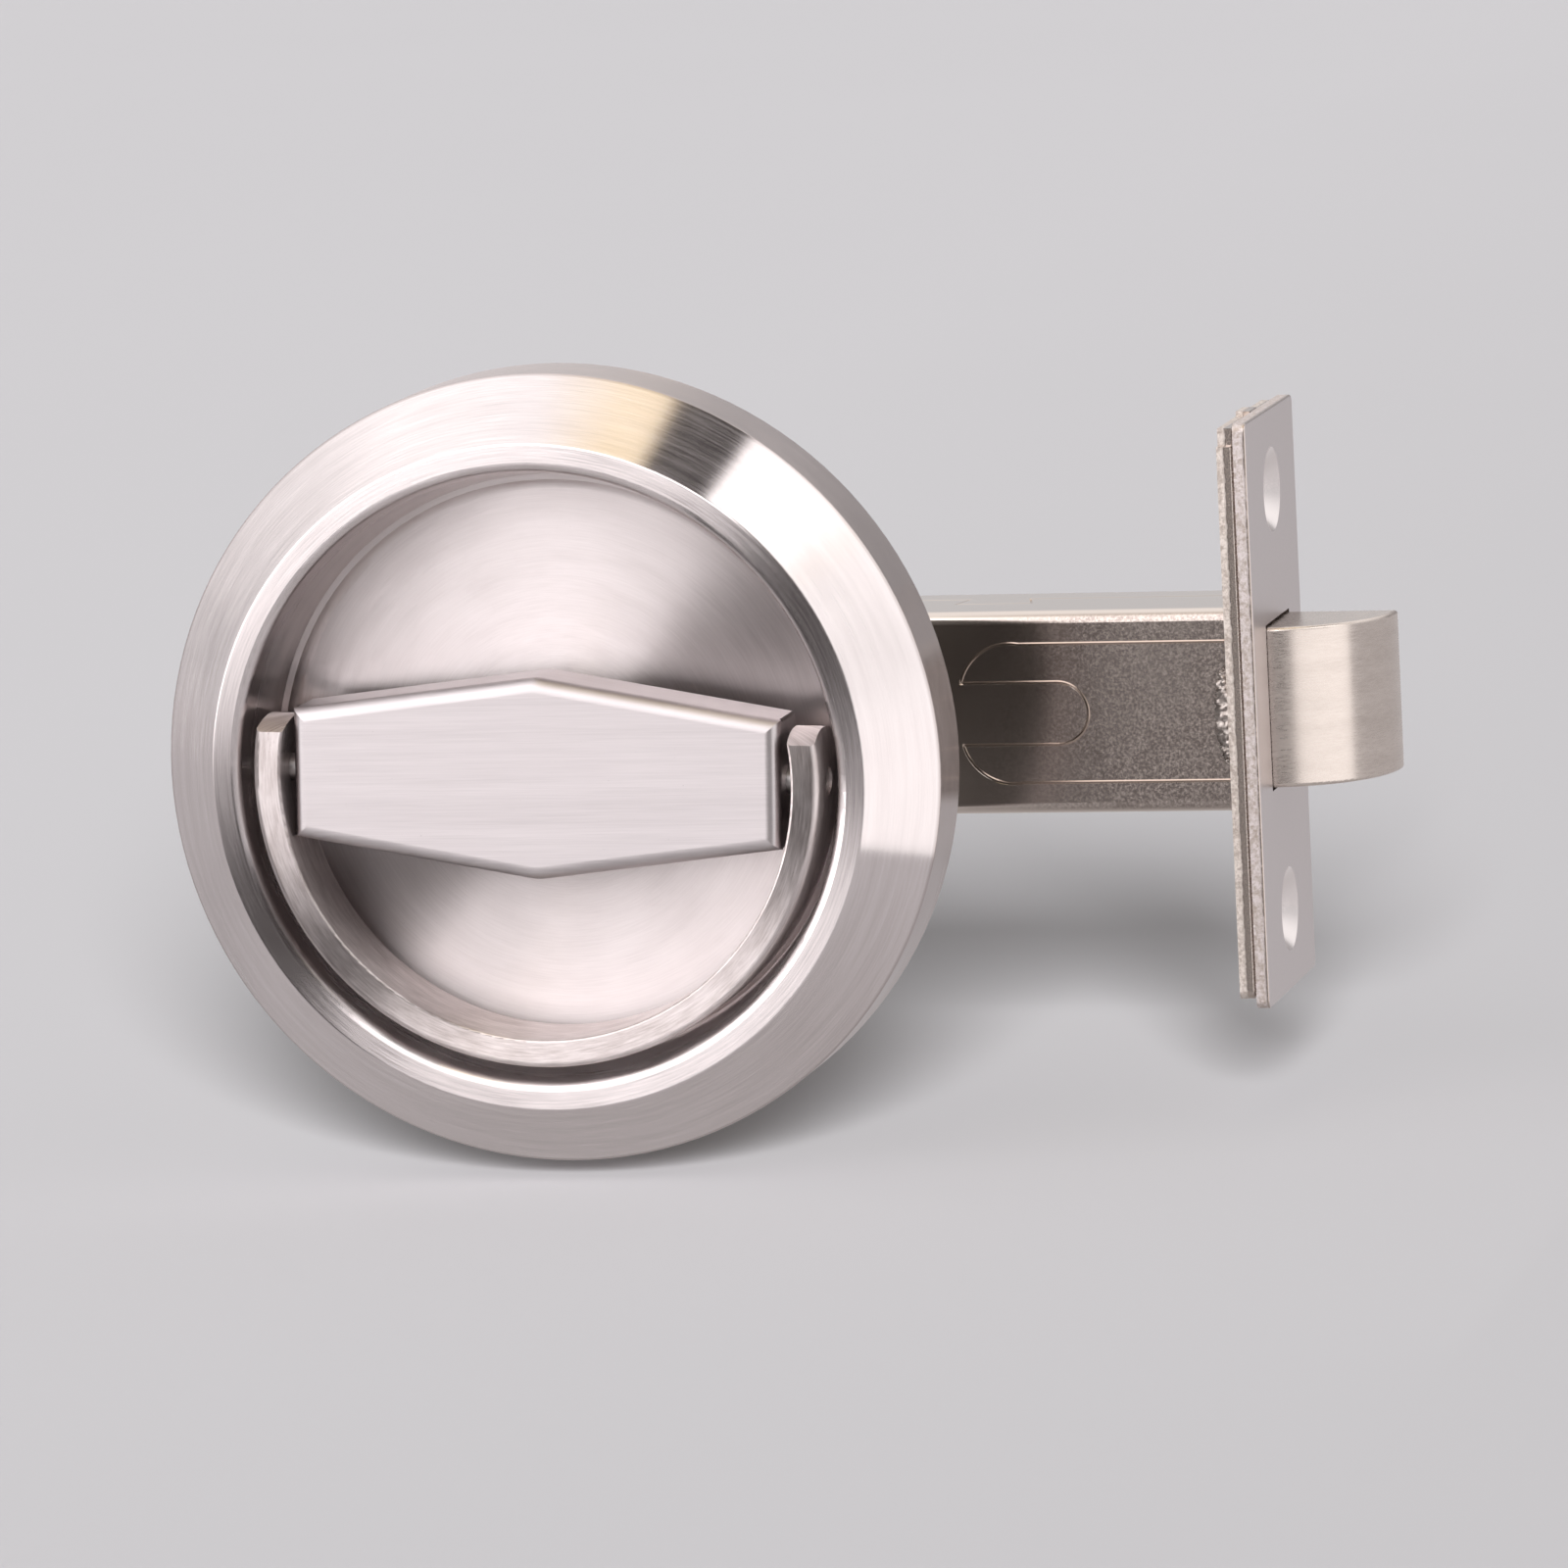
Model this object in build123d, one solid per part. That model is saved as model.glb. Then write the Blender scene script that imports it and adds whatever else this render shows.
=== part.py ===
from build123d import *
import os
from math import atan2, cos, degrees, hypot, radians, sin, sqrt

# Concealed door lock: a round rose with a sunk ring pull, a square spindle and a spring latch.
# Frame: X runs towards the latch's faceplate, Y into the door, Z up.
# The origin is on the spindle axis, in the plane of the door's face. All sizes in millimetres.

# Rose: a turned ring with a steep bevel, round a dished cup
rose_radius = 40.0
bevel_width = 6.35
bevel_height = 6.3
rim_round = 0.35
back_edge_break = 0.5
lip_width = 1.85
lip_round = 1.0
cup_depth = 10.5
cup_draft = 1.3
ledge_width = 0.6
ledge_drop = 0.2
floor_fillet = 1.0
floor_thickness = 2.0
rose_wall = 1.8

# Base plate that closes the back of the rose, with its two tapped posts
base_thickness = 2.6
base_clearance = 0.1
post_spacing = 38.0
post_radius = 4.0
post_length = 12.0
post_collar_radius = 5.5
post_collar_height = 1.4
post_tap_radius = 2.1
post_clearance = 0.05
post_chamfer = 0.5

# Neck of the grip in its bush, with washer and circlip behind
neck_radius = 7.0
neck_clearance = 0.05
bush_wall = 2.0
bush_flange_width = 2.6
bush_flange_thickness = 1.4
neck_end_play = 0.1
washer_thickness = 0.8
washer_width = 2.8
clip_thickness = 1.0
clip_groove_depth = 0.7
clip_width = 2.6
clip_mouth_angle = 50.0
clip_eye_radius = 1.4
clip_eye_hole_radius = 0.6
neck_tail = 1.6

# Grip: a folded sheet tray over a cast block
grip_sheet = 1.0
grip_bend = 1.4
grip_depth = 7.0
grip_floor_gap = 4.2
grip_end_height = 13.0
grip_mid_height = 20.5
grip_mid_round = 5.0
grip_corner_gap = 0.4
grip_slit = 0.35
grip_hang = 2.2
block_clearance = 0.1
block_recess = 0.6
block_chamfer = 0.7

# Bail: an open ring of flat bar that hangs on two pins
bail_wall_gap = 0.35
bail_thickness = 2.8
bail_depth = 9.2
bail_floor_gap = 2.2
bail_end_rise = 5.4
bail_crown_radius = 9.5
bail_outer_round = 0.6
bail_inner_round = 0.25
pin_radius = 1.4
pin_clearance = 0.05
pin_hold = 9.0
pin_setback = 0.3

# Square spindle and its cross pin
spindle_size = 7.0
spindle_clearance = 0.05
spindle_socket = 12.0
spindle_overhang = 4.0
spindle_chamfer = 0.6
spindle_pin_radius = 1.25

# Latch case: a folded sheet tube with a dovetailed seam and a pressed fork outline on each side
latch_depth = 31.0
backset = 66.7
case_height = 21.0
case_width = 14.6
case_wall = 1.0
case_bend = 1.2
case_inner_bend = 0.3
case_tail = 15.0
seam_width = 0.25
seam_depth = 0.14
seam_offset = 2.4
dovetail_length = 8.0
dovetail_depth = 3.3
dovetail_flare = 0.8
dovetail_setback = 25.5
fork_height = 14.7
fork_tip_setback = 32.0
fork_shoulder_setback = 25.7
fork_tip_height = 6.9
fork_slot_height = 6.1
fork_slot_setback = 18.8
fork_line = 0.35
fork_line_depth = 0.2
groove_slope = 40.0

# Faceplates
front_plate_thickness = 1.35
front_plate_height = 60.0
plate_width = 25.0
plate_corner = 0.8
front_plate_edge = 0.2
rear_plate_thickness = 1.7
rear_plate_short = 1.0
rear_plate_notch = 1.8
rear_plate_tab_width = 3.6
rear_plate_tab_height = 0.5
rear_plate_roll = 0.3
screw_spacing = 43.5
screw_hole_radius = 2.25
countersink_radius = 4.35
bolt_slot_clearance = 0.3

# Latch bolt, its stem, spring and guide
bolt_height = 16.5
bolt_thickness = 11.8
bolt_reach = 11.4
bolt_tail = 18.0
bolt_edge_round = 0.4
stem_height = 6.0
stem_thickness = 3.0
stem_clearance = 0.3
stem_fit = 0.05
stem_hold = 8.0
stem_pin_radius = 1.2
stem_pin_setback = 4.0
spring_coil_radius = 4.6
spring_wire_radius = 0.5
spring_turns = 6.0
spring_end_gap = 0.05
guide_thickness = 1.5
guide_setback = 36.2
guide_clearance = 0.05
guide_tab_width = 6.0
guide_tab_depth = 0.8

# Follower hub and the forked retractor that it draws back
hub_wall = 0.6
hub_journal_clearance = 0.05
hub_collar_width = 1.4
hub_collar_thickness = 1.3
hub_end_play = 0.15
horn_tip_radius = 1.2
horn_case_gap = 0.3
horn_lean = 42.5
horn_thickness = 4.0
horn_gap = 0.75
horn_side_gap = 0.3
bolt_travel = 11.0
retractor_slot_gap = 0.4
retractor_case_gap = 0.7
retractor_plate = 1.5
retractor_lug_length = 3.0
retractor_tail = 2.0
retractor_bridge = 4.0
retractor_bridge_gap = 3.0
retractor_pin_radius = 1.0

# Places worked out from the sizes above
rose_height = cup_depth + floor_thickness + base_thickness
lip_y = -rose_height
side_y = lip_y + bevel_height
floor_y = lip_y + cup_depth
floor_back_y = floor_y + floor_thickness
ridge_radius = rose_radius - bevel_width
lip_radius = ridge_radius - lip_width
cup_top_radius = lip_radius - lip_round
cup_bottom_radius = cup_top_radius - cup_draft
fillet_y = floor_y - floor_fillet
fillet_radius_out = cup_bottom_radius - ledge_width
base_radius = rose_radius - rose_wall - base_clearance
bush_inner_radius = neck_radius + neck_clearance
bush_radius = bush_inner_radius + bush_wall
washer_y = bush_flange_thickness + neck_end_play
clip_y = washer_y + washer_thickness
neck_end_y = clip_y + clip_thickness + neck_tail
clip_groove_radius = neck_radius - clip_groove_depth

bail_radius = cup_bottom_radius - bail_wall_gap
bail_inner_radius = bail_radius - bail_thickness
bail_back_y = floor_y - bail_floor_gap
bail_front_y = bail_back_y - bail_depth
pivot_y = (bail_front_y + bail_back_y) / 2
grip_back_y = floor_y - grip_floor_gap
grip_front_y = grip_back_y - grip_depth
grip_half_length = sqrt((bail_inner_radius - grip_corner_gap) ** 2 - (grip_end_height / 2) ** 2)
block_back_y = grip_back_y - block_recess

rear_face_x = backset - front_plate_thickness
case_front_x = rear_face_x - rear_plate_thickness
case_near_y = latch_depth - case_width / 2
case_far_y = latch_depth + case_width / 2
case_inner_width = case_width - 2 * case_wall
case_inner_height = case_height - 2 * case_wall
bolt_back_x = backset - bolt_tail
guide_x = backset - guide_setback
spindle_end_y = case_far_y + spindle_overhang
spindle_start_y = neck_end_y - spindle_socket
hub_socket = spindle_size + 2 * spindle_clearance
hub_radius = hub_socket / sqrt(2) + hub_wall
hub_journal_hole = hub_radius + hub_journal_clearance
horn_reach = case_inner_height / 2 - horn_tip_radius - horn_case_gap
lug_face_x = horn_reach * sin(radians(horn_lean)) - horn_tip_radius - horn_gap
plates_inside = horn_thickness / 2 + horn_side_gap
plates_outside = plates_inside + retractor_plate
retractor_height = case_inner_height - 2 * retractor_case_gap
retractor_slot_radius = hub_radius + retractor_slot_gap
bridge_front_x = guide_x - retractor_bridge_gap
bridge_back_x = bridge_front_x - retractor_bridge


def along_x(sketch, start, end):
    """Extrude a sketch drawn in (Y, Z) from one X to another."""
    return extrude(Plane.YZ.offset(start) * sketch, amount=end - start)


def along_y(sketch, start, end):
    """Extrude a sketch drawn in (X, Z) from one Y to another."""
    return extrude(Plane.XZ.offset(-end) * sketch, amount=end - start)


def along_z(sketch, start, end):
    """Extrude a sketch drawn in (X, Y) from one Z to another."""
    return extrude(Plane.XY.offset(start) * sketch, amount=end - start)


def disc_y(radius, start, end, x=0.0, z=0.0):
    """Round bar along Y."""
    return along_y(Pos(x, z) * Circle(radius), start, end)


def ring_y(radius, bore, start, end):
    """Plain ring along Y."""
    return along_y(Circle(radius) - Circle(bore), start, end)


def span(low, high):
    """A box between two opposite corners."""
    size = [b - a for a, b in zip(low, high)]
    middle = [(a + b) / 2 for a, b in zip(low, high)]
    return Pos(*middle) * Box(*size)


def span_sketch(low, high):
    """A rectangle between two opposite corners."""
    middle = [(a + b) / 2 for a, b in zip(low, high)]
    return Pos(*middle) * Rectangle(high[0] - low[0], high[1] - low[1])


def arc_about(centre, radius, start, end):
    """Arc in the profile plane, between two angles in degrees."""
    return CenterArc(centre, radius, start, end - start)


def make_rose():
    """One turned piece: side wall, bevel, lip, drafted cup wall, ledge, fillet and floor."""
    slope = bevel_height / bevel_width
    hollow_radius = rose_radius - rose_wall
    crest_radius = cup_top_radius + rose_wall
    shoulder_y = side_y + rose_wall * (hypot(bevel_width, bevel_height) / bevel_width - slope)
    crest_y = shoulder_y - slope * (hollow_radius - crest_radius)
    fillet_middle = (fillet_radius_out - floor_fillet, fillet_y)
    outside = Polyline(
        (rose_radius - back_edge_break, 0),
        (rose_radius, -back_edge_break),
        (rose_radius, side_y),
        (ridge_radius, lip_y),
        (lip_radius, lip_y),
    )
    lip = arc_about((lip_radius, lip_y + lip_round), lip_round, 270, 180)
    wall = Polyline(
        (cup_top_radius, lip_y + lip_round),
        (cup_bottom_radius, fillet_y - ledge_drop),
        (fillet_radius_out, fillet_y),
    )
    corner = arc_about(fillet_middle, floor_fillet, 0, 90)
    back = Polyline(
        (fillet_middle[0], floor_y),
        (bush_radius, floor_y),
        (bush_radius, floor_back_y),
        (cup_bottom_radius + rose_wall, floor_back_y),
        (crest_radius, crest_y),
        (hollow_radius, shoulder_y),
        (hollow_radius, 0),
        (rose_radius - back_edge_break, 0),
    )
    profile = make_face(outside + lip + wall + corner + back)
    crest = [(rose_radius, side_y), (ridge_radius, lip_y)]
    rims = [profile.vertices().sort_by_distance((*point, 0))[0] for point in crest]
    return revolve(fillet(rims, rim_round), Axis.Y)


def make_base_plate():
    """Disc that fills the back of the rose, flush with the door's face."""
    plate = ring_y(base_radius, bush_radius, floor_back_y, 0)
    for z in (-post_spacing / 2, post_spacing / 2):
        plate -= disc_y(post_radius + post_clearance, floor_back_y, 0, z=z)
    return plate


def make_post(z):
    """Tapped post for a through bolt, collared against the base plate."""
    post = disc_y(post_radius, floor_back_y, post_length, z=z)
    post += disc_y(post_collar_radius, 0, post_collar_height, z=z)
    post -= disc_y(post_tap_radius, floor_back_y, post_length, z=z)
    return chamfer(post.faces().sort_by(Axis.Y)[-1].outer_wire().edges(), post_chamfer)


def make_bush():
    """Flanged bush, pressed through the cup's floor and the base plate."""
    sleeve = ring_y(bush_radius, bush_inner_radius, floor_y, 0)
    flange = ring_y(bush_radius + bush_flange_width, bush_inner_radius, 0, bush_flange_thickness)
    return sleeve + flange


def make_washer():
    """Thrust washer behind the bush."""
    return ring_y(neck_radius + washer_width, bush_inner_radius, washer_y, clip_y)


def make_clip():
    """Open circlip with two plier eyes, sprung into the neck's groove."""
    outer_radius = clip_groove_radius + clip_width
    eye_radius = outer_radius - clip_eye_radius / 2
    clip = Circle(outer_radius) - Circle(clip_groove_radius + neck_clearance)
    half_mouth = radians(clip_mouth_angle / 2)
    far = 2 * outer_radius
    clip -= Polygon(
        (0, 0),
        (far * sin(half_mouth), -far * cos(half_mouth)),
        (-far * sin(half_mouth), -far * cos(half_mouth)),
        align=None,
    )
    eye_angle = half_mouth + clip_eye_radius / eye_radius
    for side in (-1, 1):
        eye = Pos(side * eye_radius * sin(eye_angle), -eye_radius * cos(eye_angle))
        clip += eye * Circle(clip_eye_radius)
        clip -= eye * Circle(clip_eye_hole_radius)
    return along_y(clip, clip_y, clip_y + clip_thickness)


def grip_outline():
    """Long hexagon, widest in the middle, with its two middle corners rounded."""
    half_end = grip_end_height / 2
    half_mid = grip_mid_height / 2
    outline = Polygon(
        (-grip_half_length, -half_end),
        (0, -half_mid),
        (grip_half_length, -half_end),
        (grip_half_length, half_end),
        (0, half_mid),
        (-grip_half_length, half_end),
        align=None,
    )
    middle = [v for v in outline.vertices() if abs(v.X) < grip_half_length / 2]
    return fillet(middle, grip_mid_round)


def make_grip_cover():
    """Folded tray: a flat face, bent edges and a skirt, open at its corners."""
    outline = grip_outline()
    shell = along_y(outline, grip_front_y, grip_back_y)
    shell = fillet(shell.faces().sort_by(Axis.Y)[0].edges(), grip_bend)
    hollow = along_y(offset(outline, -grip_sheet), grip_front_y + grip_sheet, grip_back_y)
    hollow = fillet(hollow.faces().sort_by(Axis.Y)[0].edges(), grip_bend - grip_sheet)
    tray = shell - hollow
    slit_from = grip_front_y + grip_bend
    slit_length = 4 * grip_bend
    half_end = grip_end_height / 2
    edge_angle = degrees(atan2(grip_mid_height / 2 - half_end, grip_half_length))
    mitre = 45 - edge_angle / 2
    for side in (-1, 1):
        for rise in (-1, 1):
            slit = Rot(0, 0, side * rise * mitre) * Rectangle(slit_length, grip_slit)
            tray -= along_y(
                Pos(side * grip_half_length, rise * half_end) * slit, slit_from, grip_back_y
            )
        skirt = sorted((side * grip_half_length, side * (grip_half_length - grip_sheet)))
        tray -= along_x(Pos(pivot_y, 0) * Circle(pin_radius + pin_clearance), *skirt)
    return tray


def make_grip_block():
    """Cast block inside the tray, with the neck that turns in the bush."""
    outline = offset(grip_outline(), -(grip_sheet + block_clearance))
    block_front_y = grip_front_y + grip_sheet
    block = along_y(outline, block_front_y, block_back_y)
    block = chamfer(block.faces().sort_by(Axis.Y)[0].edges(), block_chamfer)
    block += disc_y(neck_radius, block_back_y, neck_end_y)
    block -= ring_y(neck_radius, clip_groove_radius, clip_y, clip_y + clip_thickness)
    socket = spindle_size + 2 * spindle_clearance
    block -= along_y(Rectangle(socket, socket), spindle_start_y, neck_end_y)
    for side in (-1, 1):
        ends = sorted((side * grip_half_length, side * (grip_half_length - pin_hold)))
        block -= along_x(Pos(pivot_y, 0) * Circle(pin_radius), *ends)
    return block - spindle_pin_solid()


def make_pivot_pin(side):
    """Plain pin, pressed into the block's end, that carries one arm of the bail."""
    inner = side * (grip_half_length - pin_hold)
    outer = side * (bail_radius - pin_setback)
    return along_x(Pos(pivot_y, 0) * Circle(pin_radius), *sorted((inner, outer)))


def make_bail():
    """Open ring of flat bar that rises past its pins to two crowned ends, with its long edges eased."""
    ring = Circle(bail_radius) - Circle(bail_inner_radius)
    ring -= span_sketch((-bail_radius, bail_end_rise), (bail_radius, bail_radius))
    hoop = along_y(ring, bail_front_y, bail_back_y)
    for radius, edge_round in ((bail_radius, bail_outer_round), (bail_inner_radius, bail_inner_round)):
        rims = [e for e in hoop.edges().filter_by(GeomType.CIRCLE) if abs(e.radius - radius) < edge_round / 2]
        hoop = fillet(rims, edge_round)
    crown = Pos(pivot_y, bail_end_rise - bail_crown_radius) * Circle(bail_crown_radius)
    above_crown = span_sketch((bail_front_y, 0), (bail_back_y, bail_radius)) - crown
    hoop -= along_x(above_crown, -bail_radius, bail_radius)
    pin_hole = Pos(pivot_y, 0) * Circle(pin_radius + pin_clearance)
    return hoop - along_x(pin_hole, -bail_radius, bail_radius)


def spindle_pin_solid():
    """Cross pin through the neck, shut in by the bush."""
    half = neck_radius - neck_clearance
    pin_y = floor_y + spindle_pin_radius + neck_clearance
    return along_z(Pos(0, pin_y) * Circle(spindle_pin_radius), -half, half)


def make_spindle():
    """Square bar from the neck through the latch's follower."""
    bar = along_y(Rectangle(spindle_size, spindle_size), spindle_start_y, spindle_end_y)
    ends = bar.faces().filter_by(Axis.Y)
    bar = chamfer(ends[0].edges() + ends[1].edges(), spindle_chamfer)
    return bar - spindle_pin_solid()


def make_hub():
    """Follower: barrel with a square hole, two collars and two horns that lean to the bolt."""
    hub = disc_y(hub_radius, case_near_y, case_far_y)
    collar_out = case_inner_width / 2 - hub_end_play
    collar_in = collar_out - hub_collar_thickness
    for side in (-1, 1):
        ends = sorted((latch_depth + side * collar_in, latch_depth + side * collar_out))
        hub += disc_y(hub_radius + hub_collar_width, *ends)
    half = horn_thickness / 2
    for rise in (-1, 1):
        finger = Pos(horn_reach / 2, 0) * Rectangle(horn_reach, 2 * horn_tip_radius)
        finger += Pos(horn_reach, 0) * Circle(horn_tip_radius)
        finger = Rot(0, 0, rise * (90 - horn_lean)) * finger
        hub += along_y(finger, latch_depth - half, latch_depth + half)
    return hub - along_y(Rectangle(hub_socket, hub_socket), case_near_y, case_far_y)


def make_retractor():
    """Twin fork plates round the hub, joined by two lugs and the bridge that holds the stem."""
    half = retractor_height / 2
    tail_x = lug_face_x - retractor_lug_length - retractor_tail
    fork = span_sketch((tail_x, -half), (bridge_front_x, half))
    fork -= span_sketch((-bridge_front_x, -retractor_slot_radius), (bolt_travel, retractor_slot_radius))
    fork -= Pos(bolt_travel, 0) * Circle(retractor_slot_radius)
    body = along_y(fork, latch_depth - plates_outside, latch_depth + plates_outside)
    gap_low = (-bridge_front_x, latch_depth - plates_inside, -half)
    gap_high = (bridge_back_x, latch_depth + plates_inside, half)
    body -= span(gap_low, gap_high)
    for rise in (-1, 1):
        heights = sorted((rise * retractor_slot_radius, rise * half))
        low = (lug_face_x - retractor_lug_length, latch_depth - plates_outside, heights[0])
        body += span(low, (lug_face_x, latch_depth + plates_outside, heights[1]))
    slot_y = stem_thickness / 2 + stem_fit
    slot_z = stem_height / 2 + stem_fit
    low = (bridge_back_x, latch_depth - slot_y, -slot_z)
    body -= span(low, (bridge_front_x, latch_depth + slot_y, slot_z))
    return body - retractor_pin_solid()


def retractor_pin_solid():
    """Pin through the bridge and the stem."""
    x = (bridge_back_x + bridge_front_x) / 2
    return disc_y(retractor_pin_radius, latch_depth - plates_outside, latch_depth + plates_outside, x=x)


def stem_pin_solid():
    """Pin through the bolt and the stem."""
    half = bolt_thickness / 2
    x = bolt_back_x + stem_pin_setback
    return disc_y(stem_pin_radius, latch_depth - half, latch_depth + half, x=x)


def make_stem():
    """Flat stem from the retractor's bridge into the bolt."""
    low = (bridge_back_x, latch_depth - stem_thickness / 2, -stem_height / 2)
    high = (bolt_back_x + stem_hold, latch_depth + stem_thickness / 2, stem_height / 2)
    return span(low, high) - retractor_pin_solid() - stem_pin_solid()


def make_bolt():
    """Bolt with a straight far side and a quarter-round nose on the near side."""
    near = latch_depth - bolt_thickness / 2
    far = latch_depth + bolt_thickness / 2
    tip_x = backset + bolt_reach
    nose_x = tip_x - bolt_thickness
    body = Polyline((nose_x, near), (bolt_back_x, near), (bolt_back_x, far), (tip_x, far))
    nose = CenterArc((nose_x, far), bolt_thickness, -90, 90)
    bolt = along_z(make_face(body + nose), -bolt_height / 2, bolt_height / 2)
    flats = bolt.faces().filter_by(Axis.Z)
    rims = [e for face in flats for e in face.edges() if e.center().X > bolt_back_x + 0.1]
    bolt = fillet(rims, bolt_edge_round)
    low = (bolt_back_x, latch_depth - stem_thickness / 2 - stem_fit, -stem_height / 2 - stem_fit)
    high = (bolt_back_x + stem_hold, latch_depth + stem_thickness / 2 + stem_fit, stem_height / 2 + stem_fit)
    socket = span(low, high)
    return bolt - socket - stem_pin_solid()


def make_spring():
    """Compression spring on the stem, between the guide and the bolt."""
    start = guide_x + guide_thickness + spring_wire_radius + spring_end_gap
    end = bolt_back_x - spring_wire_radius - spring_end_gap
    height = end - start
    coil = Helix(height / spring_turns, height, spring_coil_radius)
    wire = Plane(origin=coil @ 0, z_dir=coil % 0) * Circle(spring_wire_radius)
    spring = sweep(wire, path=coil, is_frenet=True)
    return Pos(start, latch_depth, 0) * Rot(0, 90, 0) * spring


def make_guide():
    """Spring seat across the case, keyed into its floor and far wall."""
    half_y = case_inner_width / 2 - guide_clearance
    half_z = case_inner_height / 2 - guide_clearance
    end_x = guide_x + guide_thickness
    blank = RectangleRounded(2 * half_y, 2 * half_z, case_inner_bend)
    plate = along_x(Pos(latch_depth, 0) * blank, guide_x, end_x)
    tab_z = half_z + guide_clearance + guide_tab_depth
    tab_y = half_y + guide_clearance + guide_tab_depth
    half_tab = guide_tab_width / 2
    plate += span((guide_x, latch_depth - half_tab, -tab_z), (end_x, latch_depth + half_tab, 0))
    plate += span((guide_x, latch_depth, -half_tab), (end_x, latch_depth + tab_y, half_tab))
    hole_y = stem_thickness / 2 + stem_clearance
    hole_z = stem_height / 2 + stem_clearance
    return plate - span((guide_x, latch_depth - hole_y, -hole_z), (end_x, latch_depth + hole_y, hole_z))


def fork_panel():
    """Area inside the pressed fork, drawn in (X, Z): a broad blade whose two prongs face the spindle."""
    half = fork_height / 2
    tip_x = backset - fork_tip_setback
    shoulder_x = backset - fork_shoulder_setback
    slot_half = fork_slot_height / 2
    tip_half = fork_tip_height / 2
    bulge = 1 - cos(radians(45))
    reach = shoulder_x - tip_x
    rise = half - tip_half
    sides = Polyline((shoulder_x, -half), (case_front_x, -half), (case_front_x, half), (shoulder_x, half))
    panel_edges = sides
    for sign in (-1, 1):
        bend = (tip_x + reach * bulge, sign * (half - rise * bulge))
        panel_edges += ThreePointArc((shoulder_x, sign * half), bend, (tip_x, sign * tip_half))
    panel_edges += Line((tip_x, -tip_half), (tip_x, tip_half))
    panel = make_face(panel_edges)
    slot_end_x = backset - fork_slot_setback - slot_half
    panel -= span_sketch((tip_x - reach, -slot_half), (slot_end_x, slot_half))
    return panel - Pos(slot_end_x, 0) * Circle(slot_half)


def seam_path():
    """Centre line of the seam on the case's top, drawn in (X, Y), with its dovetail."""
    seam_y = latch_depth + seam_offset
    tail_end_x = backset - dovetail_setback
    tail_start_x = tail_end_x - dovetail_length
    inner_y = seam_y - dovetail_depth
    return Polyline(
        (-case_tail, seam_y),
        (tail_start_x + dovetail_flare, seam_y),
        (tail_start_x, inner_y),
        (tail_end_x, inner_y),
        (tail_end_x - dovetail_flare, seam_y),
        (case_front_x, seam_y),
    )


def make_case():
    """Folded tube with hub holes, key slots, the seam along its top and the fork outlines."""
    outer = RectangleRounded(case_width, case_height, case_bend)
    inner = RectangleRounded(case_inner_width, case_inner_height, case_inner_bend)
    tube = along_x(Pos(latch_depth, 0) * (outer - inner), -case_tail, case_front_x)
    tube -= disc_y(hub_journal_hole, case_near_y, case_far_y)
    key_from = guide_x - guide_clearance
    key_to = guide_x + guide_thickness + guide_clearance
    half_key = guide_tab_width / 2 + guide_clearance
    tube -= span((key_from, latch_depth - half_key, -case_height / 2), (key_to, latch_depth + half_key, 0))
    tube -= span((key_from, latch_depth, -half_key), (key_to, case_far_y, half_key))
    seam = Plane.XY.offset(case_height / 2) * trace(seam_path(), seam_width)
    tube -= extrude(seam, amount=seam_depth, dir=(0, 0, -1), taper=groove_slope)
    panel = fork_panel()
    outline = panel - offset(panel, -fork_line)
    for y, inward in ((case_near_y, 1), (case_far_y, -1)):
        line = Plane.XZ.offset(-y) * outline
        tube -= extrude(line, amount=fork_line_depth, dir=(0, inward, 0), taper=groove_slope)
    return tube


def plate_sketch(low_z, high_z):
    """Faceplate blank in (Y, Z), with rounded corners."""
    middle = Pos(latch_depth, (low_z + high_z) / 2)
    return middle * RectangleRounded(plate_width, high_z - low_z, plate_corner)


def bolt_slot():
    """Opening for the bolt in (Y, Z)."""
    grow = 2 * bolt_slot_clearance
    return Pos(latch_depth, 0) * Rectangle(bolt_thickness + grow, bolt_height + grow)


def screw_holes():
    """The two countersunk screw holes, through both plates."""
    cone = countersink_radius - screw_hole_radius
    holes = []
    for z in (-screw_spacing / 2, screw_spacing / 2):
        turn = Pos(0, latch_depth, z) * Rot(0, 90, 0)
        through = turn * Pos(0, 0, (case_front_x + backset) / 2)
        holes.append(through * Cylinder(screw_hole_radius, backset - case_front_x))
        sink = turn * Pos(0, 0, backset - cone / 2)
        holes.append(sink * Cone(screw_hole_radius, countersink_radius, cone))
    return holes


def make_front_plate():
    """Brushed cover plate with eased front edges."""
    half = front_plate_height / 2
    plate = along_x(plate_sketch(-half, half), rear_face_x, backset)
    plate = fillet(plate.faces().sort_by(Axis.X)[-1].edges(), front_plate_edge)
    plate -= along_x(bolt_slot(), rear_face_x, backset)
    return plate - screw_holes()


def make_rear_plate():
    """Stamped plate that carries the case: a rolled front rim, a cut corner and the stub of its strip."""
    top = front_plate_height / 2 - rear_plate_tab_height
    low = rear_plate_short - front_plate_height / 2
    blank = plate_sketch(low, top)
    blank += Pos(latch_depth, top) * Rectangle(rear_plate_tab_width, 2 * rear_plate_tab_height)
    near_y = latch_depth - plate_width / 2
    blank -= Pos(near_y, top) * Rectangle(rear_plate_notch, 2 * rear_plate_notch)
    plate = along_x(blank, case_front_x, rear_face_x)
    plate = chamfer(plate.faces().sort_by(Axis.X)[-1].edges(), rear_plate_roll)
    plate -= along_x(bolt_slot(), case_front_x, rear_face_x)
    return plate - screw_holes()


# At rest the grip hangs a little off level with its spindle and hub, within the play of the latch
hang = Rot(0, grip_hang, 0)

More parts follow.
